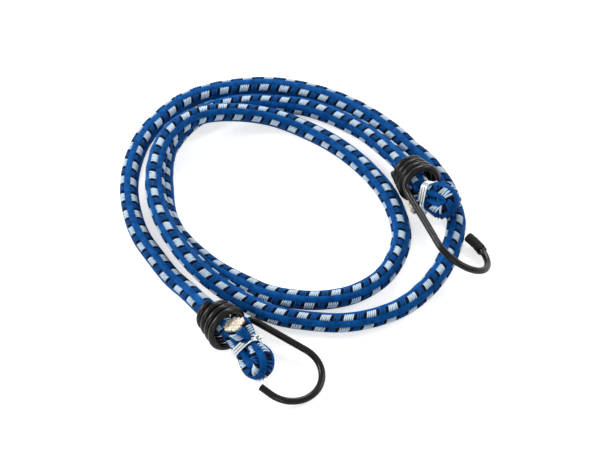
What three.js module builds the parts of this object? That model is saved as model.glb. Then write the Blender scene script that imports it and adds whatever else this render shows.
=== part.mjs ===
// A bungee cord lying in loops, with a spiral wire hook held on each end by a folded, wire-bound knot.
// Millimetres and degrees, +Z up. The cord lies on z = 0, and the origin is the middle of its outline
// seen from above.
import * as THREE from 'three';

// Cord: a woven jacket round square-cut rubber strands
const cordDiameter = 8;
const strandGap = 0.3;
const strandsPerRow = 3;
const cordSides = 10;
const loopStep = 15.5;
const foldStep = 3.2;
// The jacket's wall, and how deep the underside is flattened where the cord lies, as shares of the
// cord's diameter
const jacketWallShare = 0.1;
const flatShare = 0.1;
// How thick the folded ends are, and how thin the binding wires pinch them
const squeezeShare = 0.83;
const pinchShare = 0.62;
const pinchReach = 11;

// Wire hooks: a coil that widens towards its mouth, then a straight shank and a round bend
const wireDiameter = 2.9;
const coilPitch = 3.65;
const coilEntryRadius = 5.95;
const coilMouthRadius = 8.5;
const bendRadius = 13;
const wireChamfer = 0.35;
const wireSides = 8;
const coilStepAngle = 18;
const bendStepAngle = 12;
const turnOutSteps = 7;

// Binding wires
const bindingDiameter = 1.1;
const bindingTurns = 3;
const bindingGap = 0.25;
const bindingTailLength = 3.2;
const bindingSides = 6;
const bindingSteps = 16;
const tailSearchStep = 0.5;

// Cap on the right hook's tip
const capLength = 8.6;
const capWall = 0.5;
const capEndWall = 0.8;
const capRounding = 0.5;

// Running and seating clearances
const bundleClearance = 0.44;
const capClearance = 0.15;
const bindingClearance = 1;

const cordRadius = cordDiameter / 2;
const boreRadius = cordRadius - cordDiameter * jacketWallShare;
// The square bundle of strands has its corners clear of the bore
const bundleSide = Math.SQRT2 * (boreRadius - bundleClearance);
const strandSide = (bundleSide - (strandsPerRow - 1) * strandGap) / strandsPerRow;
const flatDepth = cordDiameter * flatShare;
const lyingHeight = cordRadius - flatDepth;
const wireRadius = wireDiameter / 2;
const bindingRadius = bindingDiameter / 2;
const worldUp = new THREE.Vector3(0, 0, 1);
const fullTurn = 360;

// The cord's route: x, y and the height of its axis above that of a cord lying on the floor
const leftFoldPoints = [
  [-26.6, -58.6, 13.6], [-24.9, -60.2, 11.9], [-23, -61.9, 9.8], [-21.2, -63.6, 8],
  [-19.2, -65.8, 7.3], [-17.3, -68.3, 7.2], [-15.9, -70.9, 6.3], [-16, -72.8, 3.8],
  [-17.8, -73, 1.3], [-20.2, -71.4, 0.4], [-22.4, -68.8, 1.1], [-24.7, -65.5, 3.2],
  [-26.8, -62.3, 4.8], [-28.7, -59.1, 6],
];
const leftMouthPoint = [-30.9, -55.5, 6.6];
const loopPoints = [
  [-47.5, -33.5, 1.4], [-54.5, -25, 0], [-61.5, -14.5, 0], [-68, -3.5, 0], [-72, 8, 0],
  [-74.5, 23.5, 0], [-73.5, 39, 0], [-69.5, 53, 0], [-63, 63.5, 0], [-54, 73.5, 0],
  [-43, 79.5, 0], [-29, 83, 0], [-15.5, 84, 0], [-1.5, 81.5, 0], [14, 75.5, 0],
  [28.5, 66, 0], [41, 54, 0], [46.5, 46.5, 0], [53.5, 38.5, 0], [57, 32, 0],
  [60.5, 25, 0], [63, 15, 0], [64.5, 5.5, 0], [63.5, -2, 0], [61.3, -10.2, 0],
  [57.8, -19.2, 0], [51.2, -29.8, 0], [40.8, -40, 0], [28, -46.2, 0], [15.1, -48.6, 0],
  [1, -47.5, 0], [-11.7, -44.9, 0.3], [-23.9, -39.1, 1.3], [-34.5, -32, 3.1], [-44.5, -23.5, 6],
  [-53.5, -10.5, 7.2], [-60, 4, 7.7], [-63, 19, 7.8], [-62.5, 33, 8.2], [-59, 45, 8.6],
  [-52, 54, 8.6], [-42, 61, 6.5], [-28, 64.5, 3.6], [-14, 64, 1.2], [0.5, 58, 0],
  [14, 48.5, 0], [26, 36, 0], [35.5, 21, 0], [40, 7, 0], [41, -4, 0],
  [38, -15.5, 0], [31.5, -26, 0], [20, -34, 0], [6.5, -37, 0], [-6.5, -36, 0],
  [-15.5, -33.5, 0], [-24.5, -28.5, 0], [-34, -22.5, 0], [-42, -15.5, 0], [-49, -7.5, 0],
  [-54, 0, 0], [-57.5, 9, 0], [-59, 19, 0], [-60, 33.5, 0], [-59, 45, 0],
  [-55, 54.5, 0], [-49, 63, 0], [-39.5, 70, 0], [-25.5, 73.5, 0], [-8, 72.5, 0],
  [1, 71, 0], [10.4, 67, 0], [18.7, 62.1, 0], [26.6, 55.6, 0.9], [34.3, 46, 2.7],
];
const rightMouthPoint = [49.7, 17.9, 9.2];
const rightFoldPoints = [
  [51, 15.4, 10.4], [53.4, 13.9, 11.6], [57, 12.9, 12.3], [60.6, 11, 11.8], [62.2, 8.5, 10],
  [60.6, 6.4, 8.1], [57.4, 6.3, 7], [54.1, 8.2, 6.8], [51, 10, 6.9], [48, 10.7, 5.7],
  [45.5, 10.6, 4],
];
// Where the cord runs straight on a coil's axis, behind its mouth
const coilRun = 15.5;
const coilRunShares = [-0.03, 0.32, 0.65, 1, 1.26];

// The two hooks. Each coil's axis points out of its mouth, and the bend's place and directions are
// given from there: ahead along the axis, across it to the left and up.
const leftHook = {
  mouthPoint: leftMouthPoint,
  axisHeading: -52.1,
  axisTilt: 8.1,
  coilStartAngle: 90,
  coilTurns: 3.61,
  coilAhead: 2.2,
  shankHeading: 23.7,
  shankTilt: -17.4,
  shankRoll: 3.6,
  bendAhead: 23.4,
  bendAcross: 21.2,
  bendRise: -9.4,
  shankLength: 18,
  turnOutReach: 5,
  turnInReach: 4,
  bendSide: -1,
  bendAngle: 187,
  tipLength: 4.9,
};
const rightHook = {
  mouthPoint: rightMouthPoint,
  axisHeading: -65.3,
  axisTilt: 12.4,
  coilStartAngle: 180,
  coilTurns: 3.86,
  coilAhead: 0,
  shankHeading: -2,
  shankTilt: -9.8,
  shankRoll: -31,
  bendAhead: 35.2,
  bendAcross: -9.5,
  bendRise: -3.5,
  shankLength: 28,
  turnOutReach: 4,
  turnInReach: 4,
  bendSide: 1,
  bendAngle: 217,
  tipLength: 1.8,
};

// Where each binding wire is wound, along the cord from its hook's mouth towards the fold
const leftBindingDistance = 12;
const rightBindingDistance = 5;
// How much nearer to the fold it holds the tail
const tailLead = 1;

// Small helpers for directions

function radians(degrees) {
  return THREE.MathUtils.degToRad(degrees);
}

function direction(heading, tilt) {
  const level = Math.cos(radians(tilt));
  return new THREE.Vector3(
    level * Math.cos(radians(heading)),
    level * Math.sin(radians(heading)),
    Math.sin(radians(tilt)),
  );
}

// Axes of a frame that looks along a direction, with its side level before it is rolled
function lookAlong(ahead, roll = 0) {
  const side = worldUp.clone().cross(ahead).normalize().applyAxisAngle(ahead, radians(roll));
  return { ahead, side, up: ahead.clone().cross(side) };
}

function routePoint([x, y, lift]) {
  return new THREE.Vector3(x, y, lyingHeight + lift);
}

// Stations along a path: each has a place, the direction of travel, and the side and up of its section

function carriedFrame(previous, ahead) {
  const side = previous.side.clone().addScaledVector(ahead, -previous.side.dot(ahead)).normalize();
  return { ahead, side, up: ahead.clone().cross(side) };
}

function stationsAlong(points, share = () => 1) {
  const stations = [];
  points.forEach((point, index) => {
    const before = points[Math.max(index - 1, 0)];
    const after = points[Math.min(index + 1, points.length - 1)];
    const ahead = after.clone().sub(before).normalize();
    const frame = index === 0 ? lookAlong(ahead) : carriedFrame(stations[index - 1], ahead);
    stations.push({ point, ...frame, share: share(index) });
  });
  return stations;
}

// Outlines of sections, anticlockwise, as [across, rise]

function roundOutline(radius, sides) {
  return Array.from({ length: sides }, (_, index) => {
    const angle = radians((index + 0.5) * fullTurn / sides);
    return [radius * Math.cos(angle), radius * Math.sin(angle)];
  });
}

function flattenedOutline(radius, depth, sides) {
  const flatHalfAngle = THREE.MathUtils.radToDeg(Math.acos((radius - depth) / radius));
  const roundAngle = fullTurn - 2 * flatHalfAngle;
  const firstAngle = flatHalfAngle - fullTurn / 4;
  return Array.from({ length: sides }, (_, index) => {
    const angle = radians(firstAngle + index * roundAngle / (sides - 1));
    return [radius * Math.cos(angle), radius * Math.sin(angle)];
  });
}

function squareOutline(side, across, rise) {
  const half = side / 2;
  return [
    [across - half, rise - half],
    [across + half, rise - half],
    [across + half, rise + half],
    [across - half, rise + half],
  ];
}

// Skins: closed bodies made of rings of points

function ringAt(station, outline) {
  return outline.map(([across, rise]) => station.point.clone()
    .addScaledVector(station.side, across * station.share)
    .addScaledVector(station.up, rise * station.share));
}

// One closed body through the rings. With a bore it is a tube, whose bore goes right through or,
// if it is blind, ends at its last ring.
function skin(rings, boreRings = [], blind = false) {
  const points = [...rings, ...boreRings].flat();
  const triangles = [];
  const count = rings[0].length;
  const boreStart = rings.length * count;
  const quad = (a, b, c, d) => triangles.push(a, b, c, a, c, d);
  const fan = (start, forward) => {
    for (let index = 1; index < count - 1; index += 1) {
      const [second, third] = forward ? [index, index + 1] : [index + 1, index];
      triangles.push(start, start + second, start + third);
    }
  };
  for (let index = 0; index < count; index += 1) {
    const next = (index + 1) % count;
    for (let ring = 0; ring < rings.length - 1; ring += 1) {
      const here = ring * count;
      quad(here + index, here + next, here + count + next, here + count + index);
    }
    for (let ring = 0; ring < boreRings.length - 1; ring += 1) {
      const here = boreStart + ring * count;
      quad(here + index, here + count + index, here + count + next, here + next);
    }
    if (boreRings.length > 0) {
      quad(index, boreStart + index, boreStart + next, next);
    }
    if (boreRings.length > 0 && !blind) {
      const outer = boreStart - count;
      const inner = boreStart + (boreRings.length - 1) * count;
      quad(outer + index, outer + next, inner + next, inner + index);
    }
  }
  if (boreRings.length === 0) {
    fan(0, false);
  }
  if (boreRings.length === 0 || blind) {
    fan(boreStart - count, true);
  }
  if (blind) {
    fan(boreStart + (boreRings.length - 1) * count, false);
  }
  const geometry = new THREE.BufferGeometry();
  const coordinates = points.flatMap((point) => point.toArray());
  geometry.setAttribute('position', new THREE.Float32BufferAttribute(coordinates, 3));
  geometry.setIndex(triangles);
  geometry.computeVertexNormals();
  return geometry;
}

function sweep(stations, outline) {
  return skin(stations.map((station) => ringAt(station, outline)));
}

// A hook's own frame: origin in the middle of the coil's mouth, X along the axis and out of the mouth

function hookFrame(hook) {
  const axes = lookAlong(direction(hook.axisHeading, hook.axisTilt));
  const turn = new THREE.Matrix4().makeBasis(axes.ahead, axes.side, axes.up);
  return turn.setPosition(routePoint(hook.mouthPoint));
}

// The cord: its axis is a smooth curve through the route's points and along both coils' axes

function coilAxisPoints(hook) {
  const frame = hookFrame(hook);
  return coilRunShares.map((share) => new THREE.Vector3(-share * coilRun, 0, 0).applyMatrix4(frame));
}

function spread(from, to, step) {
  const count = Math.round((to - from) / step);
  return Array.from({ length: count }, (_, index) => from + (to - from) * index / count);
}

const leftFold = leftFoldPoints.map(routePoint);
const rightFold = rightFoldPoints.map(routePoint);
const cordPoints = [
  ...leftFold,
  ...coilAxisPoints(leftHook),
  ...loopPoints.map(routePoint),
  ...coilAxisPoints(rightHook).reverse(),
  ...rightFold,
];
const samplesPerPoint = 40;
const cordCurve = new THREE.CatmullRomCurve3(cordPoints, false, 'centripetal');
cordCurve.arcLengthDivisions = (cordPoints.length - 1) * samplesPerPoint;
const cordLength = cordCurve.getLength();
const leftMouthIndex = leftFold.length;
const rightMouthIndex = cordPoints.length - 1 - rightFold.length;
const leftMouthDistance = cordCurve.getLengths()[leftMouthIndex * samplesPerPoint];
const rightMouthDistance = cordCurve.getLengths()[rightMouthIndex * samplesPerPoint];

function cordPointAt(distance) {
  const point = cordCurve.getPointAt(distance / cordLength);
  point.z = Math.max(point.z, lyingHeight);
  return point;
}

// Where each binding wire holds the folded end: one spot on the main run and one on the tail
function bindingPlaces(mouthDistance, inward, windDistance) {
  const tailEnd = inward > 0 ? 0 : cordLength;
  const foldLength = Math.abs(mouthDistance - tailEnd);
  const mainDistance = mouthDistance - inward * windDistance;
  const main = cordPointAt(mainDistance);
  const fromMain = (distance) => cordPointAt(distance).distanceTo(main);
  const tailDistance = spread(0, foldLength / 2, tailSearchStep)
    .map((distance) => tailEnd + inward * distance)
    .reduce((best, distance) => (fromMain(distance) < fromMain(best) ? distance : best));
  return { mainDistance, tailDistance: tailDistance + inward * tailLead };
}

const leftBinding = bindingPlaces(leftMouthDistance, 1, leftBindingDistance);
const rightBinding = bindingPlaces(rightMouthDistance, -1, rightBindingDistance);
const pinchedDistances = [leftBinding, rightBinding]
  .flatMap(({ mainDistance, tailDistance }) => [mainDistance, tailDistance]);

// How thick the cord is there, as a share of its full thickness
function thicknessShare(distance) {
  if (distance > leftMouthDistance && distance < rightMouthDistance) {
    return 1;
  }
  const nearest = Math.min(...pinchedDistances.map((pinched) => Math.abs(distance - pinched)));
  const released = THREE.MathUtils.smoothstep(nearest, 0, pinchReach);
  return THREE.MathUtils.lerp(pinchShare, squeezeShare, released);
}

function cordStations() {
  const distances = [
    ...spread(0, leftMouthDistance, foldStep),
    ...spread(leftMouthDistance, rightMouthDistance, loopStep),
    ...spread(rightMouthDistance, cordLength, foldStep),
    cordLength,
  ];
  const stations = distances.map((distance) => ({
    distance,
    point: cordPointAt(distance),
    ...lookAlong(cordCurve.getTangentAt(distance / cordLength)),
    share: thicknessShare(distance),
  }));
  // In the steep folds the section is carried on from the mouth instead of being kept level
  const leftMouth = stations.findIndex((station) => station.distance >= leftMouthDistance);
  for (let index = leftMouth - 1; index >= 0; index -= 1) {
    Object.assign(stations[index], carriedFrame(stations[index + 1], stations[index].ahead));
  }
  const rightMouth = stations.findIndex((station) => station.distance >= rightMouthDistance);
  for (let index = rightMouth + 1; index < stations.length; index += 1) {
    Object.assign(stations[index], carriedFrame(stations[index - 1], stations[index].ahead));
  }
  return stations;
}

// The least gap between two stretches of the cord that aren't neighbours, from points on its axis
function leastCordGap(stations) {
  const pointsPerStep = 8;
  const samples = [];
  for (let index = 0; index < stations.length - 1; index += 1) {
    for (let part = 0; part < pointsPerStep; part += 1) {
      const along = part / pointsPerStep;
      const [here, next] = [stations[index], stations[index + 1]];
      samples.push({
        distance: THREE.MathUtils.lerp(here.distance, next.distance, along),
        point: here.point.clone().lerp(next.point, along),
        radius: cordRadius * THREE.MathUtils.lerp(here.share, next.share, along),
      });
    }
  }
  const neighbourDistance = 3 * cordDiameter;
  let least = { gap: Infinity };
  samples.forEach((first, index) => {
    samples.slice(index + 1).forEach((second) => {
      if (second.distance - first.distance > neighbourDistance) {
        const gap = first.point.distanceTo(second.point) - first.radius - second.radius;
        if (gap < least.gap) {
          least = { gap, first, second };
        }
      }
    });
  });
  return least;
}

const stations = cordStations();
const least = leastCordGap(stations);
console.log(`cord: ${cordLength.toFixed(0)} mm long, least gap to itself ${least.gap.toFixed(2)} mm`);

function jacketGeometry() {
  const outer = flattenedOutline(cordRadius, flatDepth, cordSides);
  const bore = flattenedOutline(boreRadius, flatDepth, cordSides);
  return skin(
    stations.map((station) => ringAt(station, outer)),
    stations.map((station) => ringAt(station, bore)),
  );
}

function strandGeometry(row, column) {
  const pitch = strandSide + strandGap;
  const middle = (strandsPerRow - 1) / 2;
  return sweep(stations, squareOutline(strandSide, (column - middle) * pitch, (row - middle) * pitch));
}

// Wire hooks

function coilPoint(hook, angle) {
  const turned = (angle - hook.coilStartAngle) / fullTurn;
  const radius = THREE.MathUtils.lerp(coilEntryRadius, coilMouthRadius, turned / hook.coilTurns);
  return new THREE.Vector3(
    hook.coilAhead + (turned - hook.coilTurns) * coilPitch,
    radius * Math.cos(radians(angle)),
    radius * Math.sin(radians(angle)),
  );
}

function hookPoints(hook) {
  // The coil, from its cut end to its mouth
  const coilAngle = hook.coilTurns * fullTurn;
  const coilSteps = Math.round(coilAngle / coilStepAngle);
  const coil = Array.from({ length: coilSteps + 1 }, (_, index) => (
    coilPoint(hook, hook.coilStartAngle + coilAngle * index / coilSteps)));

  // The round bend and the straight tip
  const { ahead, side } = lookAlong(direction(hook.shankHeading, hook.shankTilt), hook.shankRoll);
  const bendStart = new THREE.Vector3(hook.bendAhead, hook.bendAcross, hook.bendRise);
  const bendSteps = Math.round(hook.bendAngle / bendStepAngle);
  const bend = Array.from({ length: bendSteps + 1 }, (_, index) => {
    const angle = radians(hook.bendAngle * index / bendSteps);
    return bendStart.clone()
      .addScaledVector(ahead, bendRadius * Math.sin(angle))
      .addScaledVector(side, hook.bendSide * bendRadius * (1 - Math.cos(angle)));
  });
  const bendAngle = radians(hook.bendAngle);
  const tipDirection = ahead.clone().multiplyScalar(Math.cos(bendAngle))
    .addScaledVector(side, hook.bendSide * Math.sin(bendAngle));
  const tip = bend[bendSteps].clone().addScaledVector(tipDirection, hook.tipLength);

  // The turn from the coil's last wind into the shank
  const shankStart = bendStart.clone().addScaledVector(ahead, -hook.shankLength);
  const coilDirection = coil[coilSteps].clone().sub(coil[coilSteps - 1]).normalize();
  const turn = new THREE.CubicBezierCurve3(
    coil[coilSteps],
    coil[coilSteps].clone().addScaledVector(coilDirection, hook.turnOutReach),
    shankStart.clone().addScaledVector(ahead, -hook.turnInReach),
    shankStart,
  ).getPoints(turnOutSteps);

  return [...coil, ...turn.slice(1), ...bend, tip];
}

// Both cut ends of a wire are chamfered
function withChamferedEnds(points, radius, chamfer) {
  const chamferShare = (radius - chamfer) / radius;
  const [first, second] = points;
  const [last, beforeLast] = [points[points.length - 1], points[points.length - 2]];
  const stepIn = (from, to) => from.clone().addScaledVector(to.clone().sub(from).normalize(), chamfer);
  const all = [first, stepIn(first, second), ...points.slice(1, -1), stepIn(last, beforeLast), last];
  return stationsAlong(all, (index) => (index === 0 || index === all.length - 1 ? chamferShare : 1));
}

function hookGeometry(hook) {
  const chamfered = withChamferedEnds(hookPoints(hook), wireRadius, wireChamfer);
  return sweep(chamfered, roundOutline(wireRadius, wireSides));
}

// The cap: a sleeve on the last stretch of the wire, closed round its tip
function capGeometry(hook) {
  const points = hookPoints(hook);
  let rest = capLength;
  const covered = [points[points.length - 1]];
  for (let index = points.length - 2; rest > 0; index -= 1) {
    const step = covered[0].distanceTo(points[index]);
    const reach = Math.min(rest, step);
    covered.unshift(covered[0].clone().lerp(points[index], reach / step));
    rest -= reach;
  }
  const wire = stationsAlong(covered);
  const tip = wire[wire.length - 1];
  const moved = (distance, share) => (
    { ...tip, point: tip.point.clone().addScaledVector(tip.ahead, distance), share });
  const boreRadiusOfCap = wireRadius + capClearance;
  const capRadius = boreRadiusOfCap + capWall;
  const roundedShare = (capRadius - capRounding) / capRadius;
  const outer = roundOutline(capRadius, wireSides);
  const bore = roundOutline(boreRadiusOfCap, wireSides);
  const boreEnd = moved(capClearance, 1);
  const shoulder = moved(capClearance + capEndWall - capRounding, 1);
  const crown = moved(capClearance + capEndWall, roundedShare);
  return skin(
    [...wire.slice(0, -1), shoulder, crown].map((station) => ringAt(station, outer)),
    [...wire.slice(0, -1), boreEnd].map((station) => ringAt(station, bore)),
    true,
  );
}

// Binding wires: wound round both runs of a folded end, with both ends turned out side by side

function bindingGeometry({ mainDistance, tailDistance }, inward) {
  const main = cordPointAt(mainDistance);

  // Ahead runs along both towards the fold, across from the main run to the tail
  const ahead = cordCurve.getTangentAt(tailDistance / cordLength)
    .sub(cordCurve.getTangentAt(mainDistance / cordLength))
    .multiplyScalar(inward).normalize();
  const across = cordPointAt(tailDistance).sub(main);
  across.addScaledVector(ahead, -across.dot(ahead));
  const halfSpan = across.length() / 2;
  across.normalize();
  const middle = main.add(cordPointAt(tailDistance)).divideScalar(2);
  const beside = across.clone().cross(ahead);

  // One wind is two half circles joined by two straight runs
  const windRadius = cordRadius * pinchShare + bindingClearance + bindingRadius;
  const pitch = bindingDiameter + bindingGap;
  const windPoint = (turns) => {
    const angle = radians(turns * fullTurn);
    const straight = halfSpan * Math.sign(Math.sin(angle));
    return middle.clone()
      .addScaledVector(across, windRadius * Math.sin(angle) + straight)
      .addScaledVector(beside, windRadius * Math.cos(angle))
      .addScaledVector(ahead, (turns - bindingTurns / 2) * pitch);
  };
  // The winds start and end on the upper half circle, whose middle is a quarter turn round
  const startTurns = 0.25;
  const wound = Array.from({ length: bindingTurns * bindingSteps + 1 }, (_, index) => (
    windPoint(startTurns + (index + 0.5) / bindingSteps)));
  const outwards = (point, away) => point.clone()
    .addScaledVector(across, bindingTailLength)
    .addScaledVector(beside, away);
  const path = [
    outwards(wound[0], bindingTailLength / 2),
    ...wound,
    outwards(wound[wound.length - 1], -bindingTailLength / 2),
  ];
  return sweep(stationsAlong(path), roundOutline(bindingRadius, bindingSides));
}

// Materials and the assembled object

const jacketYarn = { color: 0x1b5aa6, roughness: 0.85, metalness: 0 };
const rubber = { color: 0xe4d9b4, roughness: 0.7, metalness: 0 };
const coatedWire = { color: 0x2a2826, roughness: 0.45, metalness: 0.2 };
const brightWire = { color: 0xc9cfd0, roughness: 0.3, metalness: 1 };
const capPlastic = { color: 0x191919, roughness: 0.6, metalness: 0 };

function named(name, geometry, finish) {
  const mesh = new THREE.Mesh(geometry, new THREE.MeshStandardMaterial(finish));
  mesh.name = name;
  return mesh;
}

function placedOn(hook, mesh) {
  hookFrame(hook).decompose(mesh.position, mesh.quaternion, mesh.scale);
  return mesh;
}

const bungeeCord = new THREE.Group();
bungeeCord.add(named('cord_jacket', jacketGeometry(), jacketYarn));
for (let row = 0; row < strandsPerRow; row += 1) {
  for (let column = 0; column < strandsPerRow; column += 1) {
    const number = row * strandsPerRow + column + 1;
    bungeeCord.add(named(`rubber_strand_${number}`, strandGeometry(row, column), rubber));
  }
}
bungeeCord.add(placedOn(leftHook, named('left_hook', hookGeometry(leftHook), coatedWire)));
bungeeCord.add(placedOn(rightHook, named('right_hook', hookGeometry(rightHook), coatedWire)));
bungeeCord.add(placedOn(rightHook, named('right_tip_cap', capGeometry(rightHook), capPlastic)));
bungeeCord.add(named('left_binding_wire', bindingGeometry(leftBinding, 1), brightWire));
bungeeCord.add(named('right_binding_wire', bindingGeometry(rightBinding, -1), brightWire));

// The origin is the middle of the outline seen from above, at the height of the floor
const bounds = new THREE.Box3().setFromObject(bungeeCord, true);
const middleOfBounds = bounds.getCenter(new THREE.Vector3());
bungeeCord.position.set(-middleOfBounds.x, -middleOfBounds.y, -bounds.min.z);

export default bungeeCord;
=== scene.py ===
# A bungee cord lying in loops on a pale floor, with a black wire hook on each end.
import math

import bpy
import numpy as np
from mathutils import Matrix, Quaternion, Vector


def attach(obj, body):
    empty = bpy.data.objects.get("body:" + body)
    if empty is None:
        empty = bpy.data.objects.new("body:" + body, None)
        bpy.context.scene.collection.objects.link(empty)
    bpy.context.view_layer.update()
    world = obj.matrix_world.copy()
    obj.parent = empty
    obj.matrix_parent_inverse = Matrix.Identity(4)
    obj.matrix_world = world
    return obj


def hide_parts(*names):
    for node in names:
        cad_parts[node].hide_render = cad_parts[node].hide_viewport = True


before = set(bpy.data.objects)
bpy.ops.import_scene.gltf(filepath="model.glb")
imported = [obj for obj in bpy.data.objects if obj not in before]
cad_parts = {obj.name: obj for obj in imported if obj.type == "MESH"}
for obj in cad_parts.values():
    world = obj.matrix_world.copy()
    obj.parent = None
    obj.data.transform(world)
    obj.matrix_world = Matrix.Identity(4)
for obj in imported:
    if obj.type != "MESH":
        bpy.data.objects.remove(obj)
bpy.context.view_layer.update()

# The view: a long lens half-way up, looking across the loops from the side on which both hooks lie.
lens_length = 132
view_height_angle = math.radians(50)
view_distance = 0.9322
view_target = Vector((-0.00187, 0.00629, 0))
towards_camera = Vector((0, -math.cos(view_height_angle), math.sin(view_height_angle)))


def put_in_scene(name, data):
    made = bpy.data.objects.new(name, data)
    bpy.context.scene.collection.objects.link(made)
    return made


def mesh_of(name, points, edges=(), faces=()):
    mesh = bpy.data.meshes.new(name)
    mesh.from_pydata(points, edges, faces)
    return mesh


def wall_faces(sides, ring, next_ring, first=0):
    """The faces between two rings of a tube whose corners are numbered ring by ring from the first."""
    here, there = first + ring * sides, first + next_ring * sides
    return [(here + corner, here + (corner + 1) % sides, there + (corner + 1) % sides, there + corner)
            for corner in range(sides)]


lens = bpy.data.cameras.new("view")
lens.lens = lens_length
camera = put_in_scene("view", lens)
camera.location = view_target + towards_camera * view_distance
camera.rotation_euler = (math.pi / 2 - view_height_angle, 0, 0)
bpy.context.scene.camera = camera

# The route of the cord: one length of elastic that starts in the folded tail of the left hook, runs
# through its coil, lies in two loops, and ends in the folded tail of the right hook. Each point is
# x, y and how far the axis is above that of a cord lying on the floor.
solid_shift = Vector((-0.000373, -0.00021, 0))
solid_lying_height = 0.0032
settled_lift = 0.0007
cord_diameter = 0.008
cord_radius = cord_diameter / 2
left_fold = [
    (-0.0275, -0.059, 0.013), (-0.0254, -0.0604, 0.0116), (-0.023, -0.0619, 0.0098),
    (-0.0212, -0.0636, 0.008), (-0.0192, -0.0658, 0.0073), (-0.0173, -0.0683, 0.0072),
    (-0.0159, -0.0709, 0.0063), (-0.016, -0.0728, 0.0038), (-0.0178, -0.073, 0.0013),
    (-0.0202, -0.0714, 0.0004), (-0.0224, -0.0688, 0.0011), (-0.0247, -0.0655, 0.0032),
    (-0.0268, -0.0623, 0.0048), (-0.0287, -0.0591, 0.006),
]
loops = [
    (-0.0475, -0.0335, 0.0014), (-0.0545, -0.025, 0), (-0.0615, -0.0145, 0), (-0.068, -0.0035, 0),
    (-0.072, 0.008, 0), (-0.0745, 0.0235, 0), (-0.0735, 0.039, 0), (-0.0695, 0.053, 0),
    (-0.063, 0.0635, 0), (-0.054, 0.0735, 0), (-0.043, 0.0795, 0), (-0.029, 0.083, 0),
    (-0.0155, 0.084, 0), (-0.0015, 0.0815, 0), (0.014, 0.0755, 0), (0.0285, 0.066, 0),
    (0.041, 0.054, 0), (0.0465, 0.0465, 0), (0.0535, 0.0385, 0), (0.057, 0.032, 0), (0.0605, 0.025, 0),
    (0.063, 0.015, 0), (0.0645, 0.0055, 0), (0.0635, -0.002, 0), (0.0613, -0.0102, 0),
    (0.0578, -0.0192, 0), (0.0512, -0.0298, 0), (0.0408, -0.04, 0), (0.028, -0.0462, 0),
    (0.0151, -0.0486, 0), (0.001, -0.0475, 0), (-0.0117, -0.0449, 0.0003), (-0.0239, -0.0391, 0.0013),
    (-0.0345, -0.032, 0.0031), (-0.0445, -0.0235, 0.006), (-0.0535, -0.0105, 0.0072),
    (-0.06, 0.004, 0.0077), (-0.063, 0.019, 0.0078), (-0.0625, 0.033, 0.0082), (-0.059, 0.045, 0.0086),
    (-0.052, 0.054, 0.0086), (-0.042, 0.061, 0.0065), (-0.028, 0.0645, 0.0036), (-0.014, 0.064, 0.0012),
    (0.0005, 0.058, 0), (0.014, 0.0485, 0), (0.026, 0.036, 0), (0.0355, 0.021, 0), (0.04, 0.007, 0),
    (0.041, -0.004, 0), (0.038, -0.0155, 0), (0.0315, -0.026, 0), (0.02, -0.034, 0),
    (0.0065, -0.037, 0), (-0.0065, -0.036, 0), (-0.0155, -0.0335, 0), (-0.0245, -0.0285, 0),
    (-0.034, -0.0225, 0), (-0.042, -0.0155, 0), (-0.049, -0.0075, 0), (-0.054, 0, 0),
    (-0.0575, 0.009, 0), (-0.059, 0.019, 0), (-0.06, 0.0335, 0), (-0.059, 0.045, 0),
    (-0.055, 0.0545, 0), (-0.049, 0.063, 0), (-0.0395, 0.07, 0), (-0.0255, 0.0735, 0),
    (-0.008, 0.0725, 0), (0.001, 0.071, 0), (0.0104, 0.067, 0), (0.0187, 0.0621, 0),
    (0.0266, 0.0556, 0.0009), (0.0343, 0.046, 0.0027),
]
right_fold = [
    (0.051, 0.0154, 0.0104), (0.0534, 0.0139, 0.0116), (0.057, 0.0129, 0.0123), (0.0606, 0.011, 0.0118),
    (0.0622, 0.0085, 0.01), (0.0606, 0.0064, 0.0081), (0.0574, 0.0063, 0.007), (0.0541, 0.0082, 0.0068),
    (0.051, 0.01, 0.0069), (0.048, 0.0107, 0.0057), (0.0455, 0.0106, 0.004),
]
# Each coil's axis points out of its mouth, and the cord runs straight on it behind the mouth
left_mouth = (-0.0309, -0.0555, 0.0066)
left_axis_heading = math.radians(-52.1)
left_axis_tilt = math.radians(8.1)
right_mouth = (0.0497, 0.0179, 0.0092)
right_axis_heading = math.radians(-65.3)
right_axis_tilt = math.radians(12.4)
coil_run = 0.0155
coil_run_shares = (-0.03, 0.32, 0.65, 1, 1.26)
up = Vector((0, 0, 1))


def placed(point, lift=0):
    x, y, height = point
    return Vector((x, y, height + solid_lying_height + lift)) + solid_shift


def heading_to(heading, tilt):
    level = math.cos(tilt)
    return Vector((level * math.cos(heading), level * math.sin(heading), math.sin(tilt)))


def looking_along(ahead, roll=0):
    side = Quaternion(ahead, roll) @ up.cross(ahead).normalized()
    return ahead, side, ahead.cross(side)


def through_coil(mouth, heading, tilt):
    ahead = heading_to(heading, tilt)
    return [placed(mouth) - ahead * coil_run * share for share in coil_run_shares]


def smooth_line(points, samples):
    """A smooth curve through the points, as many samples to each stretch."""
    first, last = points[0] * 2 - points[1], points[-1] * 2 - points[-2]
    line = []
    around = [first, *points, last]
    for before, start, end, after in zip(around, around[1:], around[2:], around[3:]):
        gaps = [math.sqrt((b - a).length) for a, b in ((before, start), (start, end), (end, after))]
        turn_in = (start - before) / gaps[0] - (end - before) / (gaps[0] + gaps[1])
        turn_out = (after - end) / gaps[2] - (after - start) / (gaps[1] + gaps[2])
        run = end - start
        pull_in = turn_in * gaps[1] + run
        pull_out = turn_out * gaps[1] + run
        for index in range(samples):
            t = index / samples
            line.append(
                start + pull_in * (t - 2 * t ** 2 + t ** 3) + pull_out * (t ** 3 - t ** 2)
                + run * (3 * t ** 2 - 2 * t ** 3))
    return [*line, points[-1]]


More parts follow.
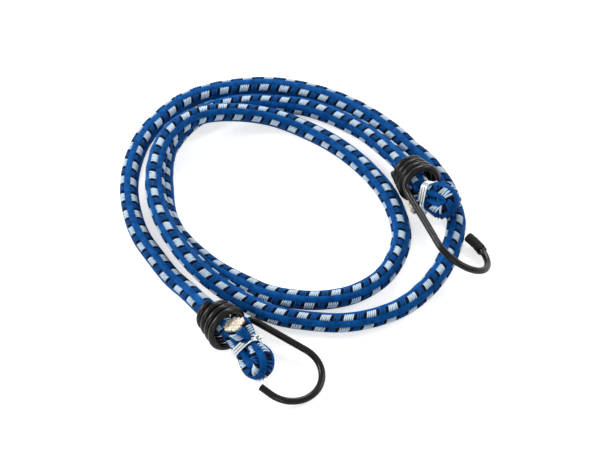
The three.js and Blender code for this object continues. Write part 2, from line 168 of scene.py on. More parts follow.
samples_per_stretch = 24
route_points = [
    *(placed(point) for point in left_fold),
    *through_coil(left_mouth, left_axis_heading, left_axis_tilt),
    *(placed(point, settled_lift) for point in loops),
    *reversed(through_coil(right_mouth, right_axis_heading, right_axis_tilt)),
    *(placed(point) for point in right_fold),
]
line = smooth_line(route_points, samples_per_stretch)
line_places = np.array([tuple(point) for point in line])
line_places[:, 2] = np.maximum(line_places[:, 2], solid_lying_height + settled_lift / 2)
line_distances = np.concatenate((
    [0], np.cumsum(np.linalg.norm(np.diff(line_places, axis=0), axis=1))))
cord_length = float(line_distances[-1])
left_mouth_distance = float(line_distances[len(left_fold) * samples_per_stretch])
right_mouth_distance = float(line_distances[-1 - len(right_fold) * samples_per_stretch])


def along_cord(distance):
    """The place of the cord's axis at a distance from its left cut end."""
    return Vector([float(np.interp(distance, line_distances, line_places[:, k])) for k in range(3)])


# The stations of the cord, each with its place, the way the cord runs there, and the side and the top
# of its section, which stay level on the floor and follow the steep folds at the ends
station_step = 0.00075
station_count = round(cord_length / station_step) + 1
distances = np.linspace(0, cord_length, station_count)
places = np.column_stack([np.interp(distances, line_distances, line_places[:, k]) for k in range(3)])
aheads = np.gradient(places, axis=0)
aheads /= np.linalg.norm(aheads, axis=1)[:, None]
sides = np.cross(np.array(up), aheads)
sides /= np.linalg.norm(sides, axis=1)[:, None]
left_start = int(np.searchsorted(distances, left_mouth_distance))
right_start = int(np.searchsorted(distances, right_mouth_distance))
for index, neighbour in (
        *((index, index + 1) for index in range(left_start - 1, -1, -1)),
        *((index, index - 1) for index in range(right_start + 1, station_count))):
    carried = sides[neighbour] - aheads[index] * np.dot(sides[neighbour], aheads[index])
    sides[index] = carried / np.linalg.norm(carried)
tops = np.cross(aheads, sides)

# The jacket: a tube woven round the rubber from blue yarn, with four rows of blocks along it in which
# longer yarns lie crosswise, white and blue in turn with a black yarn between. It is pressed thin
# under the binding wires and cut off at a slant at both ends.
jacket_sides = 40
jacket_wall = 0.0007
edge_wall = 0.0004
inner_step = 4
row_count = 4
side_angle = math.tau / jacket_sides
sides_per_row = jacket_sides // (2 * row_count)
row_dip = 0.00045
column_rise = 0.00002
edge_dip = 0.00025
# Thickness of the cord along its length, as shares of its full thickness: the left cut end spreads
# open, the binding wires pinch both runs of a fold, and the cord bulges a little inside the coils
left_binding_distance = 0.012
right_binding_distance = 0.005
left_tail_pinch = 0.011
right_tail_pinch = 0.0075
thickness_shares = [
    (0, 1.42), (0.003, 1.3), (0.006, 1.05), (0.0085, 0.78), (left_tail_pinch, 0.6), (0.0135, 0.78),
    (0.017, 1), (0.029, 1), (0.0335, 0.8), (left_mouth_distance - left_binding_distance, 0.6),
    (left_mouth_distance - 0.0085, 0.78), (left_mouth_distance - 0.004, 0.92),
    (left_mouth_distance, 0.98), (left_mouth_distance + 0.006, 1.05),
    (left_mouth_distance + 0.016, 1.05), (left_mouth_distance + 0.022, 1),
    (right_mouth_distance - 0.022, 1), (right_mouth_distance - 0.016, 1.05),
    (right_mouth_distance - 0.006, 1.05), (right_mouth_distance, 0.9),
    (right_mouth_distance + right_binding_distance, 0.6), (right_mouth_distance + 0.008, 0.8),
    (right_mouth_distance + 0.0115, 1), (cord_length - 0.0145, 1), (cord_length - 0.011, 0.8),
    (cord_length - right_tail_pinch, 0.6), (cord_length - 0.0045, 0.84), (cord_length, 0.98),
]
easing_reach = 3
share_places, shares_there = zip(*thickness_shares)
shares = np.interp(distances, share_places, shares_there)
easing = np.hanning(2 * easing_reach + 1)
shares = np.convolve(np.pad(shares, easing_reach, mode="edge"), easing / easing.sum(), mode="valid")
# Both runs of a fold are pressed together: each is flat where it meets the fold's middle and swells
# beside that. The middle lies halfway to the place that is as far from the bend on the other run.
left_bend_distance = 0.0235
right_bend_distance = cord_length - 0.0203
bend_reach = 0.006
swell_reach = 0.0155
swell_ramp = 0.003
fold_swell = 0.2
fold_overlap = 1.12
pinched_share = 0.65
least_facing = 0.01


def fold_at(station):
    """How fully a fold is pressed together at a station, and the way to its middle from there."""
    distance = distances[station]
    bend = left_bend_distance if distance < cord_length / 2 else right_bend_distance
    share = min(1, (swell_reach - abs(distance - bend)) / swell_ramp)
    if share <= 0:
        return 0, 0, 0
    reach = max(bend_reach, abs(distance - bend))
    middle = (along_cord(bend - reach) + along_cord(bend + reach)) / 2
    inwards = np.array(middle) - places[station]
    return share * share * (3 - 2 * share), np.dot(inwards, sides[station]), np.dot(inwards, tops[station])


folds = [fold_at(station) for station in range(station_count)]


def thickness_at(station, angle):
    """The thickness of the cord towards one side of its section, as a share of its full thickness."""
    share = shares[station]
    weight, across, rise = folds[station]
    if weight == 0:
        return share
    turned = angle - math.atan2(rise, across)
    swell = fold_swell * max(0, min(1, (share - pinched_share) / (1 - pinched_share)))
    swollen = share * (swell * math.cos(turned)
                       + math.sqrt((1 + swell) ** 2 - (swell * math.sin(turned)) ** 2))
    reach = math.hypot(across, rise) / cord_radius * fold_overlap
    facing = max(math.cos(turned), least_facing)
    bulged = share + max(0, reach - share) * facing
    return share + weight * (min(max(swollen, bulged), reach / facing) - share)


# The slanted cuts: how steep they are, how far along the cord they are felt, and the side of the section
# that is cut back furthest
cut_slope = 0.58
cut_reach = 0.007
left_cut_side = math.radians(-37)
right_cut_side = math.radians(155)
# How the pattern runs: the distance along the cord, the number of blocks passed there, and how many
# degrees the rows have turned round the cord
pattern_run = [
    (0, 0.7, 37), (0.022, 2.9, 37), (0.048, 5.8, 20), (0.0688, 8, 28), (0.0957, 10.75, 32),
    (0.1252, 14, 32), (0.1604, 17.75, 36), (0.1797, 19.75, 42), (0.1985, 21.75, 50),
    (0.2171, 23.75, 51), (0.2355, 25.75, 54), (0.2638, 28.75, 56), (0.2919, 31.75, 62),
    (0.3112, 33.75, 62), (0.3695, 40, 72), (0.3979, 43, 78), (0.426, 46, 84), (0.4633, 50, 88),
    (0.4816, 52, 75), (0.4994, 54, 68), (0.5168, 56, 79), (0.5361, 58, 83), (0.5551, 60, 78),
    (0.5736, 62, 86), (0.5827, 63, 96), (0.61, 66, 82), (0.646, 70, 77), (0.6728, 73, 78),
    (0.6906, 75, 90), (0.7178, 78, 90), (0.7355, 80, 87), (0.762, 83, 92), (0.78, 85, 102),
    (0.807, 88, 108), (0.833, 91, 112), (0.849, 93, 126), (0.8582, 94, 132), (0.8749, 96, 112),
    (0.8924, 98, 118), (0.9023, 99, 126), (0.9368, 103, 102), (0.9543, 105, 92), (0.9712, 107, 96),
    (0.9884, 109, 102), (1.007, 111, 110), (1.026, 113, 122), (right_mouth_distance, 115.3, 130),
    (1.0603, 117, 152), (1.073, 118, 156), (cord_length, 119.2, 156),
]
run_places, run_blocks, run_turns = zip(*pattern_run)
blocks = np.interp(distances, run_places, run_blocks)
turns = np.radians(np.interp(distances, run_places, run_turns))
floor_gap = 0.00005


def cut_shift(station, across, rise):
    """How far a point of the section is moved along by the slanted cut that is near it."""
    from_start, from_end = distances[station], cord_length - distances[station]
    slant_share = max(0, 1 - min(from_start, from_end) / cut_reach)
    if from_start < from_end:
        return slant_share * cut_slope * (
            across * math.cos(left_cut_side) + rise * math.sin(left_cut_side))
    return -slant_share * cut_slope * (
        across * math.cos(right_cut_side) + rise * math.sin(right_cut_side))


def at_section(station, across, rise):
    """A point of the section at a station of the cord, given from the cord's axis."""
    shift = cut_shift(station, across, rise)
    place = (
        places[station] + sides[station] * across + tops[station] * rise + aheads[station] * shift)
    return (place[0], place[1], max(place[2], floor_gap))


def jacket_radius(corner):
    """The radius at one corner of the jacket's section: the rows are dips, the columns between rise."""
    band, step = divmod(corner, sides_per_row)
    swell = math.sin(math.pi * step / sides_per_row)
    is_row = band % 2 == 0
    return cord_radius - edge_dip + swell * (edge_dip - row_dip if is_row else edge_dip + column_rise)


def jacket_ring(station, radii):
    ring = []
    for corner in range(jacket_sides):
        angle = turns[station] + (corner - sides_per_row / 2) * side_angle
        radius = radii[corner] * thickness_at(station, angle)
        ring.append(at_section(station, radius * math.cos(angle), radius * math.sin(angle)))
    return ring


outer_radii = [jacket_radius(corner) for corner in range(jacket_sides)]
edge_radii = [radius - edge_wall / 2 for radius in outer_radii]
mouth_radii = [radius - edge_wall for radius in outer_radii]
bore_radii = [cord_radius - row_dip - jacket_wall] * jacket_sides
inner_stations = [*range(0, station_count - 1, inner_step), station_count - 1]
rings = [(0, edge_radii)]
rings += [(station, outer_radii) for station in range(1, station_count - 1)]
rings += [(station_count - 1, edge_radii)]
rings += [(station_count - 1, mouth_radii)]
rings += [(station, bore_radii) for station in reversed(inner_stations[1:-1])]
rings += [(0, mouth_radii)]
vertices = [vertex for station, radii in rings for vertex in jacket_ring(station, radii)]
faces = []
weave_places = []
for index, (station, _) in enumerate(rings):
    following = (index + 1) % len(rings)
    faces += wall_faces(jacket_sides, index, following)
    here, there = float(blocks[station]), float(blocks[rings[following][0]])
    for corner in range(jacket_sides):
        start = (corner - sides_per_row / 2) / jacket_sides
        end = (corner + 1 - sides_per_row / 2) / jacket_sides
        weave_places += [(here, start), (here, end), (there, end), (there, start)]


jacket_mesh = mesh_of("jacket", vertices, faces=faces)
weave_map = jacket_mesh.uv_layers.new(name="weave")
weave_map.data.foreach_set("uv", [number for place in weave_places for number in place])
jacket_mesh.shade_smooth()
jacket = put_in_scene("jacket", jacket_mesh)


def paint(red, green, blue):
    """A colour as it looks on a screen, from 0 to 255."""
    def light(level):
        level /= 255
        return level / 12.92 if level <= 0.04045 else ((level + 0.055) / 1.055) ** 2.4
    return light(red), light(green), light(blue), 1


class Output:
    """An output in a tree of nodes, on which sums can be written, or only the tree."""

    def __init__(self, tree, socket=None):
        self.tree = tree
        self.socket = socket

    def node(self, kind, settings, inputs, output=0):
        made = self.tree.nodes.new(kind)
        for name, value in settings.items():
            if name == "stops":
                ramp = made.color_ramp.elements
                while len(ramp) < len(value):
                    ramp.new(1)
                for stop, (place, colour) in zip(ramp, value):
                    stop.position = place
                    stop.color = colour
            else:
                setattr(made, name, value)
        for key, value in inputs.items():
            if isinstance(value, Output):
                self.tree.links.new(value.socket, made.inputs[key])
            else:
                made.inputs[key].default_value = value
        return Output(self.tree, made.outputs[output])

    def sum(self, operation, *terms):
        return self.node("ShaderNodeMath", {"operation": operation}, dict(enumerate(terms)))

    def __add__(self, other):
        return self.sum("ADD", self, other)

    def __radd__(self, other):
        return self.sum("ADD", other, self)

    def __sub__(self, other):
        return self.sum("SUBTRACT", self, other)

    def __rsub__(self, other):
        return self.sum("SUBTRACT", other, self)

    def __mul__(self, other):
        return self.sum("MULTIPLY", self, other)

    def __rmul__(self, other):
        return self.sum("MULTIPLY", other, self)

    def __lt__(self, other):
        return self.sum("LESS_THAN", self, other)

    def __gt__(self, other):
        return self.sum("GREATER_THAN", self, other)

    def colour(self, first, second):
        """One colour where the mask is 0 and another where it is 1."""
        return self.node(
            "ShaderNodeMix", {"data_type": "RGBA"}, {0: self, 6: first, 7: second}, output=2)

    def noise(self, scale, detail):
        """Cloudy noise that stays with the piece, from about 0 to 1."""
        place = self.node("ShaderNodeTexCoord", {}, {}, output=3)
        return self.node(
            "ShaderNodeTexNoise", {}, {"Vector": place, "Scale": scale, "Detail": detail})


def finish(name, roughness, gloss=0.5, metallic=0):
    """A new material, its shader node and its tree."""
    material = bpy.data.materials.new(name)
    material.use_nodes = True
    shader = material.node_tree.nodes["Principled BSDF"]
    shader.inputs["Roughness"].default_value = roughness
    shader.inputs["Specular IOR Level"].default_value = gloss
    shader.inputs["Metallic"].default_value = metallic
    return material, shader, Output(material.node_tree)


def feed(shader, name, value):
    value.tree.links.new(value.socket, shader.inputs[name])


def emboss(shader, height, depth):
    """Makes the light fall as if the surface rose by the depth where the height is 1."""
    feed(shader, "Normal", height.node("ShaderNodeBump", {}, {"Height": height, "Distance": depth}))


# Shares of a block in which the crosswise yarns are white, black, blue and black again
white_share = 0.43
black_share = 0.135
blue_share = 0.3
row_lead = 0.25
half_row_share = 0.25
# Under the floats the jacket is painted in a dark tone of each yarn: painted shade where the gaps between
# the floats show
under_white = paint(36, 74, 140)
under_black = paint(2, 6, 20)
under_blue = paint(0, 34, 86)
# The columns' lit blue and their painted shade blue
column_blue = paint(14, 100, 178)
column_shade_blue = paint(0, 46, 104)
braid_blocks = 10
braid_turns = 32
braid_height = 0.00006
braid_contrast = 0.5
mottle_contrast = 1.6
column_darkening = 0.55
jacket_finish, shader, nodes = finish("woven_jacket_yarn", roughness=0.6, gloss=0.06)
weave = nodes.node("ShaderNodeUVMap", {"uv_map": "weave"}, {})
passed = weave.node("ShaderNodeSeparateXYZ", {}, {0: weave}, output=0)
round_cord = weave.node("ShaderNodeSeparateXYZ", {}, {0: weave}, output=1)
row = nodes.sum("FLOOR", round_cord * row_count + 0.5)
off_row = nodes.sum("ABSOLUTE", round_cord * row_count - row)
in_column = off_row > half_row_share
in_block = nodes.sum("FRACT", passed + round_cord * (row_count * row_lead) + white_share / 2)
is_white = in_block < white_share
is_blue = (in_block > white_share + black_share) * (in_block < white_share + black_share + blue_share)
# The row's ground, painted in shade under each kind of yarn
under_row = is_blue.colour(is_white.colour(under_black, under_white), under_blue)
slanting = passed * (braid_blocks * math.tau)
leaning = round_cord * (braid_turns * math.tau)
braid = nodes.sum("SINE", slanting + leaning) * nodes.sum("SINE", slanting - leaning)
braid_level = braid * 0.5 + 0.5
mottle = nodes.noise(scale=380, detail=3)
# The columns mix a lit blue with a painted shade blue: the braid's grooves are painted in shade, and
# cloudy patches vary the tone at random
column_light = braid_level * braid_contrast + mottle * mottle_contrast - column_darkening
column = column_light.colour(column_shade_blue, column_blue)
feed(shader, "Base Color", in_column.colour(under_row, column))
emboss(shader, braid_level * in_column, braid_height)
jacket_mesh.materials.append(jacket_finish)

# The crosswise yarns of the rows: short floats of thick polyester yarn, each a little arch round the
# cord that dives under the columns beside it at both ends. In the tight folds they are pushed askew.
float_reach = math.radians(24)
float_width_share = 0.82
float_height = 0.00062
float_dive = 0.0004
float_dive_power = 4
float_end_thinning = 0.45
float_rise = 0.00026
float_lean = math.radians(-20)
float_lean_spread = math.radians(4)
fold_tousle = math.radians(26)
float_sides = 5
float_stations = 7
white_count = 5
blue_count = 3
black_count = 2
black_dip = 0.0001
float_seed = 8
filament_count = 14
filament_twist = 3
filament_height = 0.00002
# How the floats are painted darker towards their ends, where they dive under the columns: painted shade
end_shade_power = 3
end_shade = 0.6
patch_wear = 0.12


def open_tree(name, sizes, counts):
    """A new tree of geometry nodes, and what it is given, by name."""
    tree = bpy.data.node_groups.new(name, "GeometryNodeTree")
    kinds = {"Geometry": "Geometry", **dict.fromkeys(sizes, "Float"), **dict.fromkeys(counts, "Int"),
             "Finish": "Material"}
    for socket, kind in kinds.items():
        tree.interface.new_socket(socket, in_out="INPUT", socket_type="NodeSocket" + kind)
    tree.interface.new_socket("Geometry", in_out="OUTPUT", socket_type="NodeSocketGeometry")
    given = tree.nodes.new("NodeGroupInput").outputs
    return Output(tree), {socket: Output(tree, given[socket]) for socket in kinds}


def close_tree(nodes, whole, coat):
    """Smooths what has grown, coats it and lets it out of the tree."""
    whole = nodes.node("GeometryNodeSetShadeSmooth", {}, {"Geometry": whole})
    whole = nodes.node("GeometryNodeSetMaterial", {}, {"Geometry": whole, "Material": coat})
    nodes.tree.links.new(whole.socket, nodes.tree.nodes.new("NodeGroupOutput").inputs[0])
    return nodes.tree


def yarn_tree():
    """Geometry nodes that put a yarn's arch on each point of the cord's axis."""
    nodes, given = open_tree(
        "crosswise_yarns",
        ("Cord radius", "Half angle", "Yarn height", "End dive", "Least lean", "Most lean", "Floor level"),
        ("Sides", "Stations", "Seed"))
    node = nodes.node

    def attribute(name, kind):
        return node("GeometryNodeInputNamedAttribute", {"data_type": kind}, {"Name": name})

    def marked(curve, name, value):
        return node("GeometryNodeStoreNamedAttribute", {"data_type": "FLOAT", "domain": "POINT"}, {
            "Geometry": curve, "Name": name, "Value": value})

    arch = node("GeometryNodeCurveArc", {"mode": "RADIUS"}, {
        "Resolution": given["Stations"],
        "Radius": given["Cord radius"],
        "Start Angle": given["Half angle"] * -1,
        "Sweep Angle": given["Half angle"] * 2,
    })
    travelled = node("GeometryNodeSplineParameter", {}, {})
    from_middle = nodes.sum("ABSOLUTE", travelled * 2 - 1)
    end_share = nodes.sum("POWER", from_middle, float_dive_power)
    outward = node("ShaderNodeVectorMath", {"operation": "NORMALIZE"}, {
        0: node("GeometryNodeInputPosition", {}, {})})
    dive = node("ShaderNodeVectorMath", {"operation": "SCALE"}, {
        0: outward, 3: end_share * given["End dive"] * -1})
    arch = node("GeometryNodeSetPosition", {}, {"Geometry": arch, "Offset": dive})
    arch = node("GeometryNodeSetCurveRadius", {}, {
        "Curve": arch, "Radius": 1 - end_share * float_end_thinning})
    outline = node("GeometryNodeCurvePrimitiveCircle", {"mode": "RADIUS"}, {
        "Resolution": given["Sides"], "Radius": given["Yarn height"] * 0.5})
    yarn = node("GeometryNodeCurveToMesh", {}, {
        "Curve": marked(arch, "yarn_along", travelled),
        "Profile Curve": marked(outline, "yarn_round", travelled),
        "Fill Caps": True,
    })
    turned = node("FunctionNodeAxesToRotation", {"primary_axis": "Z", "secondary_axis": "X"}, {
        "Primary Axis": attribute("along", "FLOAT_VECTOR"),
        "Secondary Axis": attribute("outwards", "FLOAT_VECTOR"),
    })
    lean = node("FunctionNodeRandomValue", {"data_type": "FLOAT"}, {
        2: given["Least lean"], 3: given["Most lean"], "Seed": given["Seed"]}, output=1)
    leaning = node("FunctionNodeAxisAngleToRotation", {}, {
        "Axis": (1, 0, 0), "Angle": lean + attribute("tousle", "FLOAT")})
    turned = node("FunctionNodeRotateRotation", {"rotation_space": "LOCAL"}, {
        "Rotation": turned, "Rotate By": leaning})
    whole = node("GeometryNodeInstanceOnPoints", {}, {
        "Points": given["Geometry"], "Instance": yarn, "Rotation": turned,
        "Scale": attribute("stretch", "FLOAT_VECTOR")})
    whole = node("GeometryNodeRealizeInstances", {}, {"Geometry": whole})
    spot = node("GeometryNodeInputPosition", {}, {})
    x, y, height = [node("ShaderNodeSeparateXYZ", {}, {0: spot}, output=axis) for axis in range(3)]
    settled = node("ShaderNodeCombineXYZ", {}, {
        0: x, 1: y, 2: nodes.sum("MAXIMUM", height, given["Floor level"])})
    whole = node("GeometryNodeSetPosition", {}, {"Geometry": whole, "Position": settled})
    return close_tree(nodes, whole, given["Finish"])


def grown(name, start, tree, sizes):
    """A plain mesh object made by geometry nodes from a start mesh and the tree's named sizes."""
    start_object = put_in_scene(name + "_start", start)
    modifier = start_object.modifiers.new("nodes", "NODES")
    modifier.node_group = tree
    identifiers = {item.name: item.identifier for item in tree.interface.items_tree
                   if item.in_out == "INPUT"}
    for size, value in sizes.items():
        modifier[identifiers[size]] = value
    evaluated = start_object.evaluated_get(bpy.context.evaluated_depsgraph_get())
    mesh = bpy.data.meshes.new_from_object(evaluated)
    start_object.modifiers.remove(modifier)
    bpy.data.objects.remove(start_object)
    mesh.name = name
    return put_in_scene(name, mesh)


def yarn_starts(first_share, share, count, dip):
    """The points on the cord's axis from which the floats of one colour spring."""
    points, alongs, outwards, stretches, tousles = [], [], [], [], []
    chance = np.random.default_rng(float_seed)
    slot = share / count
    for block in range(math.floor(blocks[0]) - 1, math.ceil(blocks[-1]) + 1):
        for number in range(row_count):
            for yarn in range(count):
                passed_there = (block - number * row_lead - white_share / 2
                                + first_share + (yarn + 0.5) * slot)
                if not blocks[0] < passed_there < blocks[-1]:
                    continue
                distance = float(np.interp(passed_there, blocks, distances))
                width = float(np.interp(passed_there + slot / 2, blocks, distances)
                              - np.interp(passed_there - slot / 2, blocks, distances))
                station = round(distance / cord_length * (station_count - 1))
                angle = turns[station] + number * math.tau / row_count
                outward = sides[station] * math.cos(angle) + tops[station] * math.sin(angle)
                thickness = thickness_at(station, angle) * (1 - dip / cord_radius)
                from_cut = min(distance, cord_length - distance)
                shift = cut_shift(station, cord_radius * math.cos(angle), cord_radius * math.sin(angle))
                cut_back = shift if distance < cord_length / 2 else -shift
                if from_cut < width + max(0, cut_back):
                    continue
                points.append(tuple(along_cord(distance)))
                alongs += list(aheads[station])
                outwards += list(outward)
                tousles.append(chance.uniform(-fold_tousle, fold_tousle) * folds[station][0])
                stretches += [thickness, thickness, width * float_width_share / float_height]
    start = mesh_of("yarn_starts", points)
    for name, values in (("along", alongs), ("outwards", outwards), ("stretch", stretches)):
        start.attributes.new(name, "FLOAT_VECTOR", "POINT").data.foreach_set("vector", values)
    start.attributes.new("tousle", "FLOAT", "POINT").data.foreach_set("value", tousles)
    return start


def yarn_finish(name, light_tone, dark_tone, roughness):
    material, shader, nodes = finish(name, roughness, gloss=0.1)
    patches = nodes.noise(scale=420, detail=2)
    along = nodes.node("ShaderNodeAttribute", {"attribute_name": "yarn_along"}, {}, output=2)
    around = nodes.node("ShaderNodeAttribute", {"attribute_name": "yarn_round"}, {}, output=2)
    filaments = nodes.sum("SINE", around * (filament_count * math.tau) + along * filament_twist)
    # Each yarn is painted darker towards both ends, where it dives under the columns: painted shade.
    # Cloudy patches vary its tone at random.
    edge = nodes.sum("ABSOLUTE", along * 2 - 1)
    end_shade_and_patches = nodes.sum("POWER", edge, end_shade_power) * end_shade + patches * patch_wear
    feed(shader, "Base Color", end_shade_and_patches.colour(light_tone, dark_tone))
    emboss(shader, filaments * 0.5 + 0.5, filament_height)
    return material


yarns = yarn_tree()
# Each kind: where in a block it starts, its share of the block, how many yarns, how much lower they lie
yarn_kinds = [
    ("white_yarns", 0, white_share, white_count, 0,
     yarn_finish("white_yarn", paint(222, 242, 255), paint(128, 160, 208), roughness=0.5)),
    ("black_yarns", white_share, black_share, black_count, black_dip,
     yarn_finish("black_yarn", paint(10, 16, 36), paint(3, 6, 18), roughness=0.6)),
    ("blue_yarns", white_share + black_share, blue_share, blue_count, 0,
     yarn_finish("blue_yarn", paint(10, 86, 156), paint(0, 40, 94), roughness=0.5)),
    ("second_black_yarns", white_share + black_share + blue_share, black_share, black_count, black_dip,
     yarn_finish("second_black_yarn", paint(10, 16, 36), paint(3, 6, 18), roughness=0.6)),
]
for name, first_share, share, count, dip, material in yarn_kinds:
    piece = grown(name, yarn_starts(first_share, share, count, dip), yarns, {
        "Cord radius": cord_radius - float_height / 2 + float_rise,
        "Half angle": float_reach,
        "Yarn height": float_height,
        "End dive": float_dive,
        "Least lean": float_lean - float_lean_spread,
        "Most lean": float_lean + float_lean_spread,
        "Floor level": floor_gap,
        "Sides": float_sides,
        "Stations": float_stations,
        "Seed": float_seed,
        "Finish": material,
    })
    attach(piece, "cord")
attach(jacket, "cord")
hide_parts("cord_jacket")

# The rubber core: a few dozen square threads of raw latex side by side, which fill the jacket from end
# to end. They show only where the cord is cut, and there they spread and stand out unevenly.
thread_side = 0.00066
thread_pitch = 0.0007
bundle_radius = cord_radius - row_dip - jacket_wall - thread_side / 2
thread_step = 4
thread_unevenness = 0.0008
thread_spread = 1.22
thread_seed = 5
speck_level = 0.56
speck_strength = 0.8
crumb_height = 0.0001
thread_count = math.floor(bundle_radius / thread_pitch)
grid = [number * thread_pitch for number in range(-thread_count, thread_count + 1)]
thread_spots = [(across, rise) for across in grid for rise in grid
                if math.hypot(across, rise) < bundle_radius]
chance = np.random.default_rng(thread_seed)
vertices, faces = [], []
thread_corners = [(-1, -1), (1, -1), (1, 1), (-1, 1)]
corner_count = len(thread_corners)
for across, rise in thread_spots:
    stretch_out = chance.uniform(0, thread_unevenness, 2)
    thread_stations = [*range(0, station_count - 1, thread_step), station_count - 1]
    for order, station in enumerate(thread_stations):
        spread = shares[station]
        out = 0
        if order == 0:
            out = -stretch_out[0]
            spread *= thread_spread
        elif order == len(thread_stations) - 1:
            out = stretch_out[1]
            spread *= thread_spread
        size = thread_side / 2 * spread
        for to_side, to_top in thread_corners:
            place = at_section(station, across * spread + size * to_side, rise * spread + size * to_top)
            vertices.append(tuple(np.array(place) + aheads[station] * out))
    first = len(vertices) - len(thread_stations) * corner_count
    faces.append(tuple(first + corner for corner in reversed(range(corner_count))))
    for order in range(len(thread_stations) - 1):
        faces += wall_faces(corner_count, order, order + 1, first)
    faces.append(tuple(len(vertices) - corner_count + corner for corner in range(corner_count)))
core_mesh = mesh_of("rubber_core", vertices, faces=faces)
core = put_in_scene("rubber_core", core_mesh)
rubber, shader, nodes = finish("raw_latex", roughness=0.6, gloss=0.25)
speckle = nodes.noise(scale=1400, detail=3)
place = nodes.node("ShaderNodeTexCoord", {}, {}, output=3)
crumbs = nodes.node("ShaderNodeTexVoronoi", {}, {"Vector": place, "Scale": 900})
spots = (speckle > speck_level) * speck_strength
feed(shader, "Base Color", spots.colour(paint(246, 240, 222), paint(186, 162, 122)))
emboss(shader, speckle + crumbs, crumb_height)
core_mesh.materials.append(rubber)
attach(core, "cord")
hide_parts(*(f"rubber_strand_{number}" for number in range(1, 10)))

# The hooks: each is one length of spring wire with a thin black coating, wound by machine into a cone
# that screws onto the cord, and then bent out into a straight shank and a round hook.
wire_diameter = 0.0029
coil_pitch = 0.00365
coil_entry_radius = 0.00595
coil_mouth_radius = 0.0085
bend_radius = 0.013
wire_sides = 24
coil_step = math.radians(6)
bend_step = math.radians(5)
turn_out_steps = 24
dome_length = 0.0006
dome_steps = 5
end_face_share = 0.3
scuff_level = 0.36
scuff_strength = 0.5
coating_roughness = 0.14
coating_roughness_spread = 0.2
grain_height = 0.00003
left_hook = {
    "mouth": left_mouth,
    "axis_heading": left_axis_heading,
    "axis_tilt": left_axis_tilt,
    "coil_start": math.radians(90),
    "coil_turns": 3.61,
    "coil_ahead": 0.0022,
    "shank_heading": math.radians(23.7),
    "shank_tilt": math.radians(-17.4),
    "shank_roll": math.radians(3.6),
    "bend_start": (0.0238, 0.0208, -0.0094),
    "shank_length": 0.0235,
    "turn_out_reach": 0.003,
    "turn_in_reach": 0.005,
    "bend_side": -1,
    "bend_angle": math.radians(187),
    "tip_length": 0.0049,
}
right_hook = {
    "mouth": right_mouth,
    "axis_heading": right_axis_heading,
    "axis_tilt": right_axis_tilt,
    "coil_start": math.radians(180),
    "coil_turns": 3.86,
    "coil_ahead": 0,
    "shank_heading": math.radians(-3.2),
    "shank_tilt": math.radians(-8.9),
    "shank_roll": math.radians(-36),
    "bend_start": (0.0354, -0.01, -0.0026),
    "shank_length": 0.028,
    "turn_out_reach": 0.004,
    "turn_in_reach": 0.004,
    "bend_side": 1,
    "bend_angle": math.radians(217),
    "tip_length": 0.0018,
}


def hook_place(hook):
    """The hook's own frame: it starts in the middle of the coil's mouth and looks out of it."""
    axes = Matrix(looking_along(heading_to(hook["axis_heading"], hook["axis_tilt"]))).transposed()
    return Matrix.Translation(placed(hook["mouth"])) @ axes.to_4x4()


def hook_path(hook):
    """The middle line of a hook's wire, from its cut end in the coil to its tip."""
    steps = round(hook["coil_turns"] * math.tau / coil_step)
    path = []
    for index in range(steps + 1):
        turned = hook["coil_turns"] * index / steps
        angle = hook["coil_start"] + turned * math.tau
        radius = coil_entry_radius + (coil_mouth_radius - coil_entry_radius) * index / steps
        path.append(Vector((
            hook["coil_ahead"] + (turned - hook["coil_turns"]) * coil_pitch,
            radius * math.cos(angle), radius * math.sin(angle))))
    ahead, side, _ = looking_along(
        heading_to(hook["shank_heading"], hook["shank_tilt"]), hook["shank_roll"])
    bend_start = Vector(hook["bend_start"])
    shank_start = bend_start - ahead * hook["shank_length"]
    leaving = (path[-1] - path[-2]).normalized()
    pulls = [path[-1], path[-1] + leaving * hook["turn_out_reach"],
             shank_start - ahead * hook["turn_in_reach"], shank_start]
    for index in range(1, turn_out_steps + 1):
        t = index / turn_out_steps
        weights = [(1 - t) ** 3, 3 * t * (1 - t) ** 2, 3 * t ** 2 * (1 - t), t ** 3]
        path.append(sum((pull * weight for pull, weight in zip(pulls, weights)), Vector()))
    steps = round(hook["bend_angle"] / bend_step)
    for index in range(steps + 1):
        angle = hook["bend_angle"] * index / steps
        path.append(bend_start + ahead * (bend_radius * math.sin(angle))
                    + side * (hook["bend_side"] * bend_radius * (1 - math.cos(angle))))
    leaving = (ahead * math.cos(hook["bend_angle"])
               + side * (hook["bend_side"] * math.sin(hook["bend_angle"])))
    path.append(path[-1] + leaving * hook["tip_length"])
    frame_there = hook_place(hook)
    return [frame_there @ point for point in path]


def rounded_end(end, neighbour, dome):
    """The places along a wire's rounded end, from its face inwards, and the share of thickness there."""
    into = (neighbour - end).normalized()
    reaches = [index / dome_steps for index in range(1, dome_steps)]
    return [(end, end_face_share),
            *((end + into * (dome * reach), math.sqrt(1 - (1 - reach) ** 2)) for reach in reaches)]


def wire_start(name, path, dome=dome_length):
    """A line along a wire's path with its thickness at each point, which falls off at both ends."""
    points, thicknesses = zip(
        *rounded_end(path[0], path[1], dome), *((point, 1) for point in path[1:-1]),
        *reversed(rounded_end(path[-1], path[-2], dome)))
    start = mesh_of(name, points, edges=[(index, index + 1) for index in range(len(points) - 1)])
    start.attributes.new("thickness", "FLOAT", "POINT").data.foreach_set("value", thicknesses)
    return start


